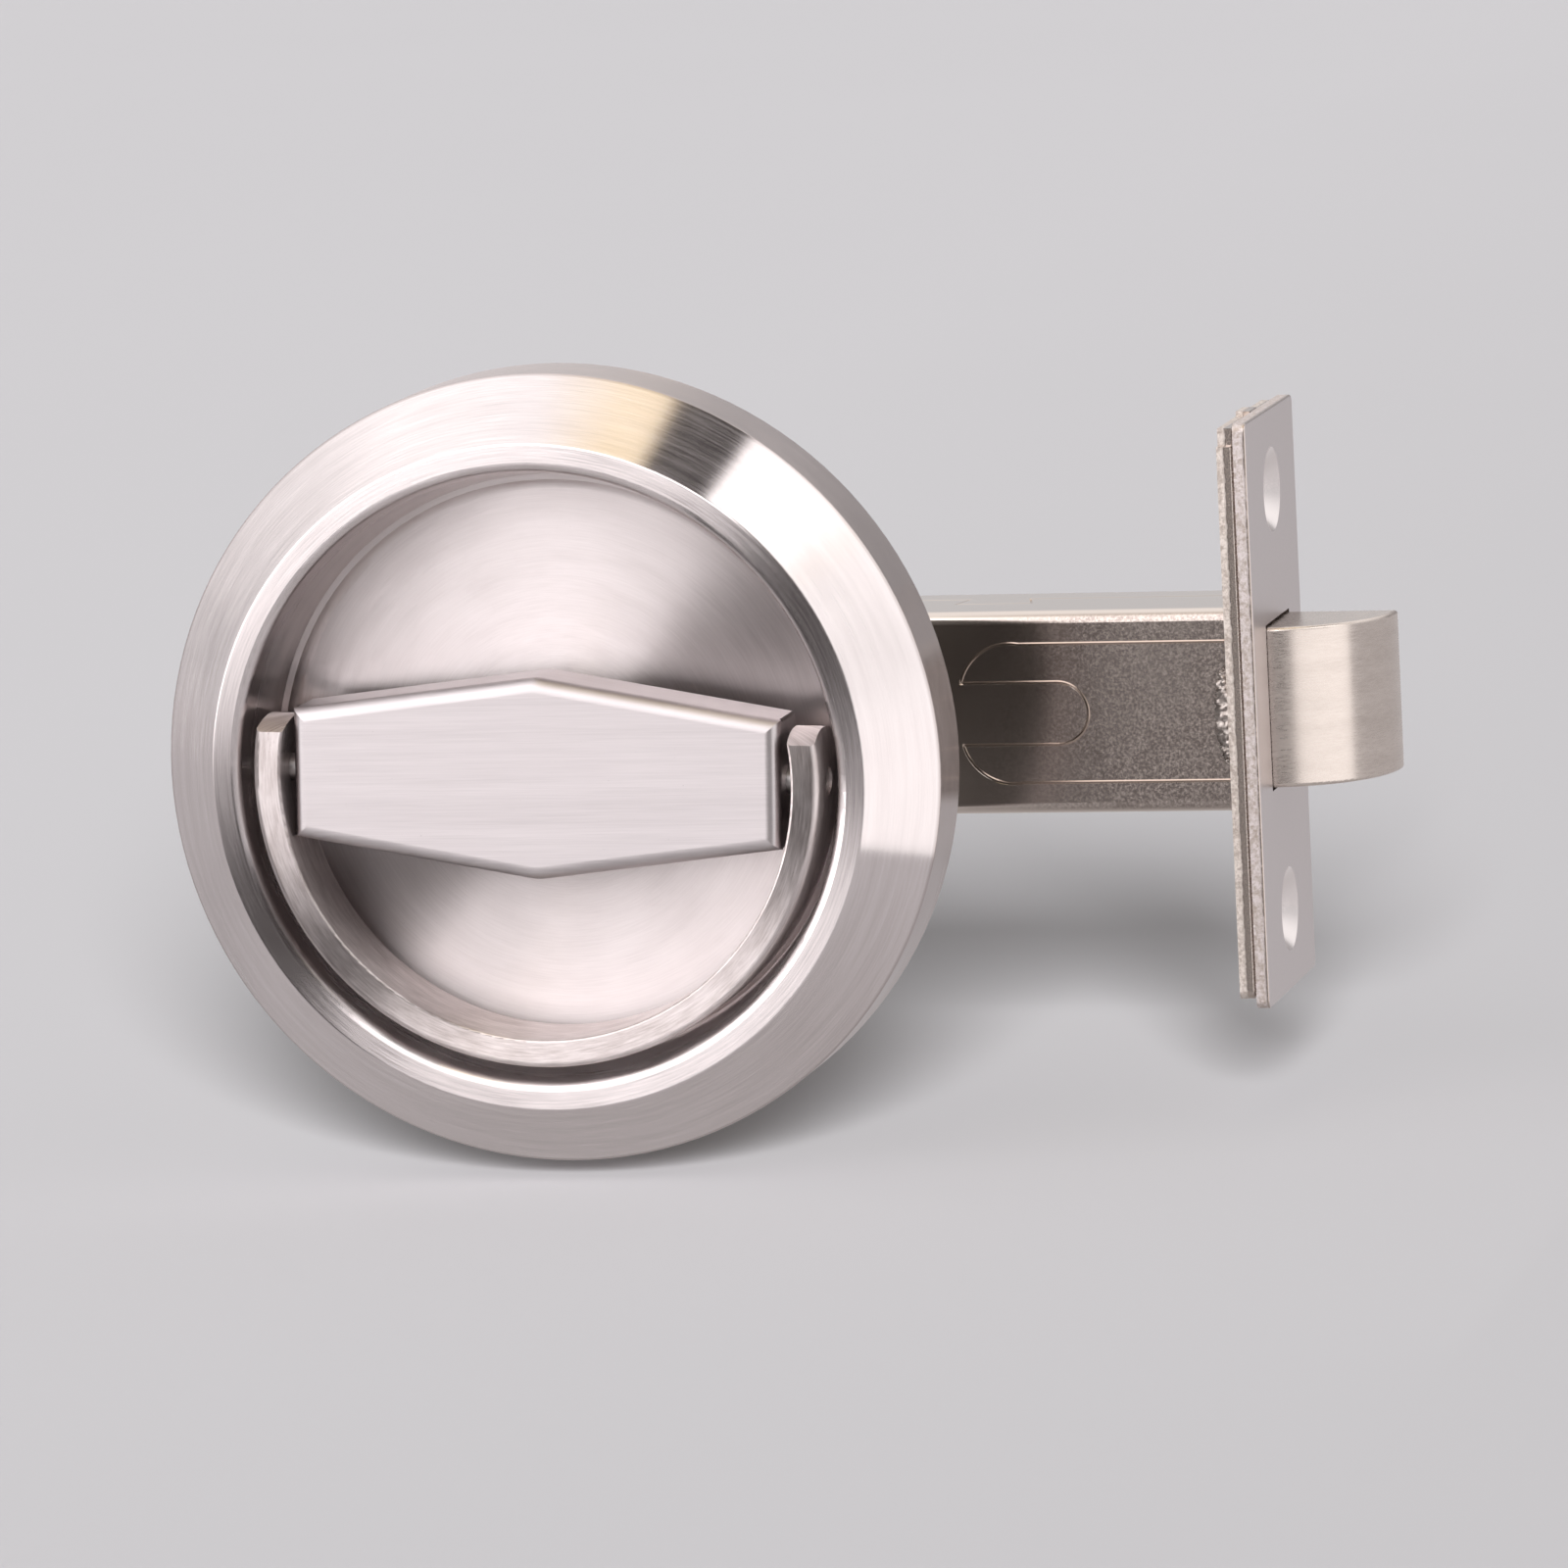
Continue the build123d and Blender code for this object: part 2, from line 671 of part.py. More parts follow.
nodes = {
    "rose": make_rose(),
    "base_plate": make_base_plate(),
    "post_upper": make_post(post_spacing / 2),
    "post_lower": make_post(-post_spacing / 2),
    "spindle_bush": make_bush(),
    "thrust_washer": make_washer(),
    "neck_circlip": make_clip(),
    "grip_cover": hang * make_grip_cover(),
    "grip_block": hang * make_grip_block(),
    "pivot_pin_left": hang * make_pivot_pin(-1),
    "pivot_pin_right": hang * make_pivot_pin(1),
    "bail": hang * make_bail(),
    "spindle": hang * make_spindle(),
    "spindle_pin": hang * spindle_pin_solid(),
    "follower_hub": hang * make_hub(),
    "retractor": make_retractor(),
    "retractor_pin": retractor_pin_solid(),
    "bolt_stem": make_stem(),
    "stem_pin": stem_pin_solid(),
    "latch_bolt": make_bolt(),
    "bolt_spring": make_spring(),
    "spring_guide": make_guide(),
    "latch_case": make_case(),
    "rear_plate": make_rear_plate(),
    "front_plate": make_front_plate(),
}

os.makedirs("parts", exist_ok=True)
for name, solid in nodes.items():
    export_step(solid, f"parts/{name}.step")
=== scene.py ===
from math import cos, pi, radians, sin

import bpy
from mathutils import Matrix, Vector


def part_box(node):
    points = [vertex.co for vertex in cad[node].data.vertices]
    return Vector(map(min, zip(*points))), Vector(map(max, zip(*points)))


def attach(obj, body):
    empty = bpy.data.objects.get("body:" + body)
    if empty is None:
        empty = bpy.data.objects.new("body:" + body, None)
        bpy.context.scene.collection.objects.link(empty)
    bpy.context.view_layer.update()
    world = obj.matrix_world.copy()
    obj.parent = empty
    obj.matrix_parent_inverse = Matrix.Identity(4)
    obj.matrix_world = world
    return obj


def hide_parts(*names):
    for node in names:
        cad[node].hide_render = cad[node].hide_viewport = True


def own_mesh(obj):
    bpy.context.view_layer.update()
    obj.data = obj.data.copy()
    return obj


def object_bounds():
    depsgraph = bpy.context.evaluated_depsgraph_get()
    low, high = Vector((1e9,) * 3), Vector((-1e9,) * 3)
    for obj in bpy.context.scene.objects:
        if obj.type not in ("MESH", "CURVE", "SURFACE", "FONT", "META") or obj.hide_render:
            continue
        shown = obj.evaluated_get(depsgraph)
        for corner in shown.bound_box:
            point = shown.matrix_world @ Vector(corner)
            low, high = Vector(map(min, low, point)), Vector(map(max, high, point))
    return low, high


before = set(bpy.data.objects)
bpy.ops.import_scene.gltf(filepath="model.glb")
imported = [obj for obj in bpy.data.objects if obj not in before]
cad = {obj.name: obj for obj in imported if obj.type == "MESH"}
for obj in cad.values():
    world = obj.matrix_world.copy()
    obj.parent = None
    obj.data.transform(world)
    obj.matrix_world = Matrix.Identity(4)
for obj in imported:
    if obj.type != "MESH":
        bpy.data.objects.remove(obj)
cad_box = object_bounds()

# Places taken from the frame
rose_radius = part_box("rose")[1].x
case_near_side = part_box("latch_case")[0].y
rear_plate_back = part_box("rear_plate")[0].x
front_plate_low, front_plate_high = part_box("front_plate")
spring_low, spring_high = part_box("bolt_spring")

# Camera, from the photograph's circles and corners
camera_lens = 227.785
camera_azimuth = radians(14.263)
camera_elevation = radians(8.815)
camera_roll = radians(-2.926)
camera_distance = 0.99964
camera_target = Vector((0.02141, 0.0009, -0.00335))

# Floor: pale paper just under the lock, with painted shade that darkens it to the right
floor_size = 8.0
floor_gap = 0.002
floor_colour = (0.60, 0.59, 0.61, 1.0)
floor_painted_shade_colour = (0.52, 0.51, 0.525, 1.0)
floor_shade_start = -0.15
floor_shade_end = 0.3

# Light tent: its roof, horizon and ground, and the share of its light that falls on matt things
tent_colour = (1.3, 1.28, 1.28, 1.0)
horizon_colour = (0.66, 0.65, 0.66, 1.0)
behind_colour = (0.42, 0.405, 0.41, 1.0)
ground_colour = (0.64, 0.62, 0.63, 1.0)
under_colour = (0.53, 0.51, 0.51, 1.0)
tent_on_floor = 0.26

# Bright panel in front on the left, and the dark opening of the tent beside it
panel_colour = (2.95, 2.89, 2.92, 1.0)
panel_direction = Vector((-0.42, -0.87, 0.24)).normalized()
panel_across = Vector((0.788, 0.0, -0.616))
panel_edge = -0.0976
shade_colour = (0.03, 0.025, 0.024, 1.0)
opening_across = Vector((0.208, 0.0, -0.978))
opening_edge = 0.0993
opening_middle = Vector((-0.02, 0.0, -0.1))
opening_spread = Vector((0.26, 1.0, 0.09))

# Warm lamp overhead, with a dark gap beside it
warm_colour = (1.4, 1.2, 0.84, 1.0)
gap_direction = Vector((0.302, -0.255, 0.918)).normalized()
gap_across = Vector((0.891, 0.0, -0.454))

# Key light, and the white card on the right
key_direction = Vector((0.232, -0.914, 0.334)).normalized()
key_strength = 6.9
key_spread = radians(17.0)
card_place = (0.105, -0.033, 0.079)
card_aim = Vector((-1.0, 0.0, 0.0))
card_width = 0.11
card_height = 0.24
card_brightness = 0.9
card_colour = (1.0, 0.99, 0.98)

# Weld bead between the case and the rear plate
weld_middle = (rear_plate_back - 0.00105, case_near_side - 0.00015, -0.0003)
weld_size = (0.00115, 0.0006, 0.0048)
weld_grit = 0.00028

# Spring on the bolt's stem, made here in place of the CAD spring
spring_wire_radius = 0.000498
spring_wire_sides = 14
spring_coil_radius = 0.0046
spring_turns = 6
spring_steps = 40
spring_start = spring_low.x + spring_wire_radius
spring_end = spring_high.x - spring_wire_radius
spring_depth = (spring_low.y + spring_high.y) / 2

# Steel and plating colours, light and dark parts of the grain
steel_light = (0.735, 0.675, 0.67, 1.0)
steel_dark = (0.635, 0.578, 0.572, 1.0)
# Painted shade: flat darker colour for the rose rim's outer wall
rim_wall_painted_shade = (0.5, 0.445, 0.435, 1.0)
bail_light = (0.77, 0.7, 0.69, 1.0)
streak_dark = (0.47, 0.41, 0.395, 1.0)
nickel_light = (0.72, 0.66, 0.615, 1.0)
nickel_dark = (0.44, 0.375, 0.335, 1.0)
# Painted highlight: lighter colour of the screw sinks
sink_highlight_colour = (0.86, 0.8, 0.785, 1.0)
grime_colour = (0.12, 0.10, 0.09, 1.0)
pit_colour = (0.10, 0.08, 0.07, 1.0)

# Zones of the finishes and of the painted shade and highlight: radii on the rose, places along the latch
lip_start = 0.0300
lip_end = 0.0308
rim_wall_start = rose_radius - 0.0003
rim_wall_end = rose_radius - 0.0001
case_dull_and_shade_start = 0.030
case_dull_and_shade_end = 0.048
front_plate_torn = front_plate_low.x + 0.00105
rear_plate_torn = rear_plate_back + 0.00075
torn_fade = 0.0003
screw_spacing = 0.0435
screw_place = (0.0, (front_plate_low.y + front_plate_high.y) / 2, screw_spacing / 2)
sink_radius = 0.0044
sink_fade = 0.0001


def socket_value(tree, socket, value):
    """Link another node's output to a socket, or set the socket's own value."""
    if isinstance(value, bpy.types.NodeSocket):
        tree.links.new(value, socket)
    else:
        socket.default_value = value


def add_node(tree, kind, inputs=None, **settings):
    """Add one shader node with its settings, and its inputs by name or number."""
    made = tree.nodes.new("ShaderNode" + kind)
    for name, value in settings.items():
        setattr(made, name, value)
    for key, value in (inputs or {}).items():
        socket_value(tree, made.inputs[key], value)
    return made


def maths(tree, operation, first, second=0.0, clamp=False):
    """Output of a Math node."""
    made = add_node(tree, "Math", {0: first, 1: second}, operation=operation, use_clamp=clamp)
    return made.outputs[0]


def product(tree, first, *others):
    """Several values or masks multiplied together."""
    for other in others:
        first = maths(tree, "MULTIPLY", first, other)
    return first


def remap(tree, value, low, high, new_low, new_high):
    """A value moved from one range to another and held inside it."""
    inputs = {"Value": value, "From Min": low, "From Max": high, "To Min": new_low, "To Max": new_high}
    return add_node(tree, "MapRange", inputs).outputs["Result"]


def rise(tree, value, low, high):
    """Mask that is 0 below a range and 1 above it."""
    return remap(tree, value, low, high, 0.0, 1.0)


def fall(tree, value, low, high):
    """Mask that is 1 below a range and 0 above it."""
    return remap(tree, value, low, high, 1.0, 0.0)


def blend_colours(tree, factor, first, second):
    """Output of a colour mix."""
    made = add_node(tree, "Mix", {0: factor, 6: first, 7: second}, data_type="RGBA")
    return made.outputs[2]


def vector_maths(tree, operation, first, second):
    """Outputs of a Vector Math node."""
    return add_node(tree, "VectorMath", {0: first, 1: second}, operation=operation).outputs


def object_place(tree):
    """Object coordinates."""
    return add_node(tree, "TexCoord").outputs["Object"]


def split(tree, vector):
    """The X, Y and Z of a vector."""
    return add_node(tree, "SeparateXYZ", {0: vector}).outputs


def noise(tree, vector, scale=1.0, detail=2.0, roughness=0.5):
    """Output of a 3D noise texture."""
    inputs = {"Vector": vector, "Scale": scale, "Detail": detail, "Roughness": roughness}
    return add_node(tree, "TexNoise", inputs).outputs["Fac"]


def new_group(name, inputs, outputs):
    """Empty shader node group with named number inputs and outputs."""
    group = bpy.data.node_groups.new(name, "ShaderNodeTree")
    for label, value in inputs.items():
        made = group.interface.new_socket(label, in_out="INPUT", socket_type="NodeSocketFloat")
        made.default_value = value
    for label in outputs:
        group.interface.new_socket(label, in_out="OUTPUT", socket_type="NodeSocketFloat")
    return group, group.nodes.new("NodeGroupInput"), group.nodes.new("NodeGroupOutput")


def make_turned_grain():
    """Fine rings round the Y axis, as a lathe and an abrasive pad leave them."""
    inputs = {"Rings": 5000.0, "Breaks": 6.0}
    group, given, result = new_group("turned_grain", inputs, ("Grain", "Bands", "Radius"))
    part = split(group, object_place(group))
    flat = add_node(group, "CombineXYZ", {0: part[0], 2: part[2]}).outputs[0]
    radius = add_node(group, "VectorMath", {0: flat}, operation="LENGTH").outputs["Value"]
    turn = split(group, add_node(group, "VectorMath", {0: flat}, operation="NORMALIZE").outputs[0])
    across = product(group, maths(group, "ADD", radius, part[1]), given.outputs["Rings"])
    cosine = product(group, turn[0], given.outputs["Breaks"])
    sine = product(group, turn[2], given.outputs["Breaks"])
    ring = add_node(group, "CombineXYZ", {0: across, 1: cosine, 2: sine}).outputs[0]
    group.links.new(noise(group, ring, 1.0, 3.0, 0.65), result.inputs["Grain"])
    wide = vector_maths(group, "MULTIPLY", ring, (0.12, 0.5, 0.5))[0]
    group.links.new(noise(group, wide), result.inputs["Bands"])
    group.links.new(radius, result.inputs["Radius"])
    return group


def make_straight_grain():
    """Fine straight lines: the smallest of the three scales gives their direction."""
    scales = {"Scale X": 100.0, "Scale Y": 5000.0, "Scale Z": 5000.0}
    group, given, result = new_group("straight_grain", scales, ("Grain", "Bands"))
    scale = add_node(group, "CombineXYZ", {i: given.outputs[i] for i in range(3)}).outputs[0]
    line = vector_maths(group, "MULTIPLY", object_place(group), scale)[0]
    group.links.new(noise(group, line, 1.0, 3.0, 0.65), result.inputs["Grain"])
    wide = vector_maths(group, "MULTIPLY", line, (0.12, 0.12, 0.12))[0]
    group.links.new(noise(group, wide), result.inputs["Bands"])
    return group


def make_handling_marks():
    """Soft smudges, and a sprinkle of small pits and specks."""
    inputs = {"Size": 0.02, "Specks": 0.3}
    group, given, result = new_group("handling_marks", inputs, ("Smudge", "Speck"))
    place = object_place(group)
    smudge_scale = maths(group, "DIVIDE", 1.0, given.outputs["Size"])
    group.links.new(noise(group, place, smudge_scale, 3.0, 0.55), result.inputs["Smudge"])
    grains = noise(group, place, 4200.0, 2.0, 0.6)
    edge = maths(group, "SUBTRACT", 0.78, product(group, given.outputs["Specks"], 0.2))
    group.links.new(rise(group, grains, edge, 0.86), result.inputs["Speck"])
    return group


turned_grain = make_turned_grain()
straight_grain = make_straight_grain()
handling_marks = make_handling_marks()


def use_group(tree, group, **values):
    """Place a node group in a material with its own values."""
    made = add_node(tree, "Group", node_tree=group)
    for name, value in values.items():
        socket_value(tree, made.inputs[name.replace("_", " ")], value)
    return made.outputs


def new_metal(name):
    """A metal's node tree and its shader."""
    material = bpy.data.materials.new(name)
    material.use_nodes = True
    shader = material.node_tree.nodes["Principled BSDF"]
    shader.inputs["Metallic"].default_value = 1.0
    return material, material.node_tree, shader


def add_bump(tree, shader, height, strength, distance):
    """Raise the surface by a height pattern."""
    inputs = {"Height": height, "Strength": strength, "Distance": distance}
    bump = add_node(tree, "Bump", inputs)
    tree.links.new(bump.outputs["Normal"], shader.inputs["Normal"])


def stretch_across(tree, shader, amount, direction):
    """Stretch the highlights along one direction of the piece, across its grain."""
    shader.inputs["Anisotropic"].default_value = amount
    turned = add_node(tree, "VectorTransform", {"Vector": direction}, vector_type="VECTOR",
                      convert_from="OBJECT", convert_to="WORLD")
    tree.links.new(turned.outputs[0], shader.inputs["Tangent"])


def stretch_outwards(tree, shader, amount):
    """Stretch the highlights outwards from the Y axis, across turned rings."""
    shader.inputs["Anisotropic"].default_value = amount
    shader.inputs["Anisotropic Rotation"].default_value = 0.25
    tangent = add_node(tree, "Tangent", direction_type="RADIAL", axis="Y")
    tree.links.new(tangent.outputs[0], shader.inputs["Tangent"])


def finish_metal(tree, shader, grain, marks, light, dark, rough, relief):
    """Colour, gloss and relief of a grained metal, from its grain and its marks."""
    tone = maths(tree, "ADD", product(tree, grain["Grain"], 0.6), product(tree, grain["Bands"], 0.4))
    colour = blend_colours(tree, rise(tree, tone, 0.34, 0.66), dark, light)
    colour = blend_colours(tree, product(tree, marks["Speck"], 0.5), colour, grime_colour)
    tree.links.new(colour, shader.inputs["Base Color"])
    gloss = maths(tree, "ADD", remap(tree, grain["Grain"], 0.25, 0.75, -0.05, 0.05),
                  remap(tree, marks["Smudge"], 0.35, 0.7, -0.03, 0.04))
    gloss = maths(tree, "ADD", gloss, rough)
    tree.links.new(gloss, shader.inputs["Roughness"])
    add_bump(tree, shader, grain["Grain"], relief, 0.00004)


def turned_steel(name, rings, breaks, rough, rim_rough, stretch, relief, light, dark):
    """Steel brushed in circles round the spindle, finer from the lip outwards, with painted shade darkening
    the rim's outer wall.
    """
    material, tree, shader = new_metal(name)
    grain = use_group(tree, turned_grain, Rings=rings, Breaks=breaks)
    marks = use_group(tree, handling_marks, Size=0.018, Specks=0.15)
    zone_rough = remap(tree, grain["Radius"], lip_start, lip_end, rough, rim_rough)
    # Painted shade on the rim's outer wall, which replaces the grain's colours there
    wall = rise(tree, grain["Radius"], rim_wall_start, rim_wall_end)
    light = blend_colours(tree, wall, light, rim_wall_painted_shade)
    dark = blend_colours(tree, wall, dark, rim_wall_painted_shade)
    finish_metal(tree, shader, grain, marks, light, dark, zone_rough, relief)
    stretch_outwards(tree, shader, stretch)
    return material


def straight_steel(name, scales, across, rough, stretch, relief, light, dark):
    """Metal brushed in straight lines."""
    material, tree, shader = new_metal(name)
    grain = use_group(tree, straight_grain, Scale_X=scales[0], Scale_Y=scales[1], Scale_Z=scales[2])
    marks = use_group(tree, handling_marks, Size=0.02, Specks=0.2)
    finish_metal(tree, shader, grain, marks, light, dark, rough, relief)
    stretch_across(tree, shader, stretch, across)
    return material


def plated_metal(name, rough, light, dark, specks, smudge_size=0.012):
    """Plated, rolled or cast metal with no clear grain: clouded, specked and faintly dimpled."""
    material, tree, shader = new_metal(name)
    marks = use_group(tree, handling_marks, Size=smudge_size, Specks=specks)
    fine = use_group(tree, handling_marks, Size=0.0011, Specks=specks)
    colour = blend_colours(tree, rise(tree, marks["Smudge"], 0.3, 0.7), dark, light)
    colour = blend_colours(tree, product(tree, marks["Speck"], 0.7), colour, pit_colour)
    tree.links.new(colour, shader.inputs["Base Color"])
    gloss = remap(tree, fine["Smudge"], 0.3, 0.7, rough - 0.04, rough + 0.06)
    tree.links.new(gloss, shader.inputs["Roughness"])
    add_bump(tree, shader, fine["Smudge"], 0.15, 0.00003)
    return material


def case_plating(name):
    """Bright nickel over rolled sheet: a mirror near the spindle, and further on, rougher pitted sides whose
    colour is darkened as painted shade.
    """
    material, tree, shader = new_metal(name)
    coordinates = add_node(tree, "TexCoord").outputs
    place = coordinates["Object"]
    along_case = split(tree, place)[0]
    side = rise(tree, maths(tree, "ABSOLUTE", split(tree, coordinates["Normal"])[1]), 0.6, 0.9)
    patch = remap(tree, noise(tree, place, 90.0, 3.0), 0.3, 0.7, -0.15, 0.15)
    # Zone further along the case: rougher and pitted, and on the sides facing ±Y darkened in colour as
    # painted shade for the dark surroundings they mirror
    dull_and_painted_shade = remap(tree, along_case, case_dull_and_shade_start, case_dull_and_shade_end, 0.0, 0.85)
    dull_and_painted_shade = product(tree, maths(tree, "ADD", dull_and_painted_shade, patch, clamp=True), side)
    pits = rise(tree, noise(tree, place, 3600.0, 4.0, 0.7), 0.4, 0.66)
    pitted = product(tree, dull_and_painted_shade, pits)
    gloss = maths(tree, "ADD", remap(tree, dull_and_painted_shade, 0.0, 1.0, 0.14, 0.19), product(tree, pitted, 0.05))
    tree.links.new(gloss, shader.inputs["Roughness"])
    # Painted shade: the sides' colour goes dark across that zone
    colour = blend_colours(tree, dull_and_painted_shade, (0.64, 0.57, 0.52, 1.0), (0.22, 0.18, 0.163, 1.0))
    colour = blend_colours(tree, product(tree, pitted, 0.7), colour, (0.6, 0.53, 0.485, 1.0))
    tree.links.new(colour, shader.inputs["Base Color"])
    add_bump(tree, shader, pitted, 0.05, 0.00002)
    return material


def plate_zones(tree, coordinates, torn_until):
    """Masks of a stamped plate's screw sinks, and of the torn and the burnished part of its edges."""
    place = coordinates["Object"]
    part = split(tree, place)
    flatness = maths(tree, "ABSOLUTE", split(tree, coordinates["Normal"])[0])
    from_middle = add_node(tree, "CombineXYZ", {1: part[1], 2: maths(tree, "ABSOLUTE", part[2])}).outputs[0]
    from_screw = vector_maths(tree, "DISTANCE", from_middle, screw_place)["Value"]
    sink = fall(tree, from_screw, sink_radius - sink_fade, sink_radius)
    sink = product(tree, sink, fall(tree, flatness, 0.8, 0.9))
    edge = maths(tree, "SUBTRACT", fall(tree, flatness, 0.5, 0.8), sink, clamp=True)
    ragged = product(tree, noise(tree, place, 900.0, 3.0), 0.0004)
    torn = fall(tree, maths(tree, "ADD", part[0], ragged), torn_until, torn_until + torn_fade)
    torn = product(tree, torn, edge)
    burnished = maths(tree, "SUBTRACT", edge, torn, clamp=True)
    return sink, torn, burnished


def plate_metal(name, light, dark, face_rough, torn_until):
    """Stamped faceplate: satin faces, smoother screw sinks lightened by painted highlight, and edges torn up
    to one X and burnished beyond.
    """
    material, tree, shader = new_metal(name)
    coordinates = add_node(tree, "TexCoord").outputs
    sink, torn, burnished = plate_zones(tree, coordinates, torn_until)
    grit = noise(tree, coordinates["Object"], 2400.0, 4.0, 0.7)
    fine = noise(tree, coordinates["Object"], 6000.0, 2.0, 0.6)
    colour = blend_colours(tree, rise(tree, fine, 0.3, 0.7), dark, light)
    colour = blend_colours(tree, burnished, colour, nickel_dark)
    torn_tone = blend_colours(tree, rise(tree, grit, 0.38, 0.6), nickel_dark, light)
    colour = blend_colours(tree, torn, colour, torn_tone)
    # Painted highlight: the screw sinks take a lighter colour
    colour = blend_colours(tree, sink, colour, sink_highlight_colour)
    tree.links.new(colour, shader.inputs["Base Color"])
    gloss = remap(tree, fine, 0.3, 0.7, face_rough - 0.05, face_rough + 0.05)
    gloss = maths(tree, "SUBTRACT", gloss, product(tree, sink, 0.16))
    gloss = maths(tree, "ADD", gloss, product(tree, torn, 0.3))
    gloss = maths(tree, "SUBTRACT", gloss, product(tree, burnished, 0.12))
    tree.links.new(gloss, shader.inputs["Roughness"])
    relief = maths(tree, "ADD", product(tree, grit, torn, 12.0), fine)
    add_bump(tree, shader, relief, 0.2, 0.00003)
    return material


finishes = {
    "brushed_steel_turned": turned_steel(
        "turned_rose_steel", rings=6000.0, breaks=5.0, rough=0.36, rim_rough=0.22, stretch=1.0, relief=0.1,
        light=steel_light, dark=steel_dark,
    ),
    "brushed_steel_bail": turned_steel(
        "bail_steel", rings=5600.0, breaks=12.0, rough=0.33, rim_rough=0.33, stretch=0.98, relief=0.22,
        light=bail_light, dark=streak_dark,
    ),
    "brushed_steel_sheet": straight_steel(
        "grip_sheet_steel", scales=(120.0, 7000.0, 7000.0), across=(0.0, 0.0, 1.0), rough=0.36, stretch=0.85,
        relief=0.06, light=(0.585, 0.54, 0.545, 1.0), dark=(0.5, 0.46, 0.465, 1.0),
    ),
    "brushed_steel_plate": plate_metal(
        "front_plate_steel", light=(0.66, 0.605, 0.6, 1.0), dark=(0.56, 0.51, 0.505, 1.0), face_rough=0.34,
        torn_until=front_plate_torn,
    ),
    "satin_nickel": straight_steel(
        "bolt_nickel", scales=(900.0, 900.0, 5200.0), across=(0.0, 0.0, 1.0), rough=0.27, stretch=0.4,
        relief=0.1, light=(0.66, 0.587, 0.54, 1.0), dark=(0.56, 0.493, 0.45, 1.0),
    ),
    "nickel_plate": case_plating("case_nickel"),
    "stamped_plate": plate_metal("rear_plate_nickel", nickel_light, nickel_dark, 0.3, rear_plate_torn),
    "plated_steel": plated_metal("plated_steel", 0.4, (0.32, 0.31, 0.3, 1.0), (0.21, 0.2, 0.19, 1.0), 0.3),
    "spring_steel": plated_metal("spring_steel", 0.3, (0.36, 0.35, 0.34, 1.0), (0.22, 0.21, 0.2, 1.0), 0.3),
    "pin_steel": plated_metal("pin_steel", 0.3, (0.58, 0.56, 0.55, 1.0), (0.42, 0.4, 0.39, 1.0), 0.3),
    "cast_zinc": plated_metal("cast_zinc", 0.5, (0.48, 0.47, 0.46, 1.0), (0.34, 0.33, 0.32, 1.0), 0.5),
    "weld_metal": plated_metal(
        "weld_metal", 0.42, (0.66, 0.6, 0.56, 1.0), (0.3, 0.26, 0.24, 1.0), 0.5, smudge_size=0.0006
    ),
    "bush_brass": plated_metal("bush_brass", 0.35, (0.72, 0.5, 0.22, 1.0), (0.52, 0.33, 0.13, 1.0), 0.3),
}


def add_weld():
    """Rough weld bead where the case meets the rear plate, widest in its middle."""
    bpy.ops.object.select_all(action="DESELECT")
    bpy.ops.mesh.primitive_uv_sphere_add(segments=24, ring_count=64, radius=1.0)
    bead = bpy.context.object
    bead.name = "weld_bead"
    bpy.ops.transform.resize(value=weld_size)
    bpy.ops.object.transform_apply(location=False, rotation=False, scale=True)
    bpy.ops.object.mode_set(mode="EDIT")
    bpy.ops.mesh.select_all(action="SELECT")
    bpy.ops.transform.vertex_random(offset=weld_grit, uniform=0.6, normal=0.8, seed=4)
    bpy.ops.transform.translate(value=weld_middle)
    bpy.ops.object.mode_set(mode="OBJECT")
    bpy.ops.object.shade_smooth()
    bead.data.materials.append(finishes["weld_metal"])
    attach(bead, "lock_body")


def wind_spring():
    """Coil of round wire along X, with closed ends."""
    bpy.ops.object.select_all(action="DESELECT")
    bpy.ops.mesh.primitive_circle_add(
        vertices=spring_wire_sides, radius=spring_wire_radius,
        location=(spring_coil_radius, 0.0, 0.0), rotation=(pi / 2, 0.0, 0.0),
    )
    spring = bpy.context.object
    bpy.ops.object.transform_apply(location=True, rotation=True, scale=True)
    bpy.ops.object.modifier_add(type="SCREW")
    coil = spring.modifiers[-1]
    coil.axis = "Z"
    coil.steps = coil.render_steps = spring_steps
    coil.iterations = spring_turns
    coil.screw_offset = (spring_end - spring_start) / spring_turns
    bpy.ops.object.modifier_apply(modifier=coil.name)
    spring.rotation_euler = (0.0, pi / 2, 0.0)
    spring.location = (spring_start, spring_depth, 0.0)
    bpy.ops.object.transform_apply(location=True, rotation=True, scale=True)
    bpy.ops.object.mode_set(mode="EDIT")
    bpy.ops.mesh.select_all(action="SELECT")
    bpy.ops.mesh.fill_holes(sides=spring_wire_sides)
    bpy.ops.mesh.select_all(action="SELECT")
    bpy.ops.mesh.normals_make_consistent(inside=False)
    bpy.ops.object.mode_set(mode="OBJECT")
    bpy.ops.object.shade_smooth()
    return spring


def add_spring():
    """Compression spring on the bolt's stem, wound here in place of the CAD spring, which is hidden."""
    spring = wind_spring()
    spring.name = "pressed_spring"
    spring.data.materials.append(finishes["spring_steel"])
    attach(spring, "lock_body")
    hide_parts("bolt_spring")
    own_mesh(spring)


def dress_cad():
    """Give each CAD node the finish of its material slot."""
    for piece in cad.values():
        finish = finishes[piece.data.materials[0].name.split(".")[0]]
        piece.data.materials.clear()
        piece.data.materials.append(finish)


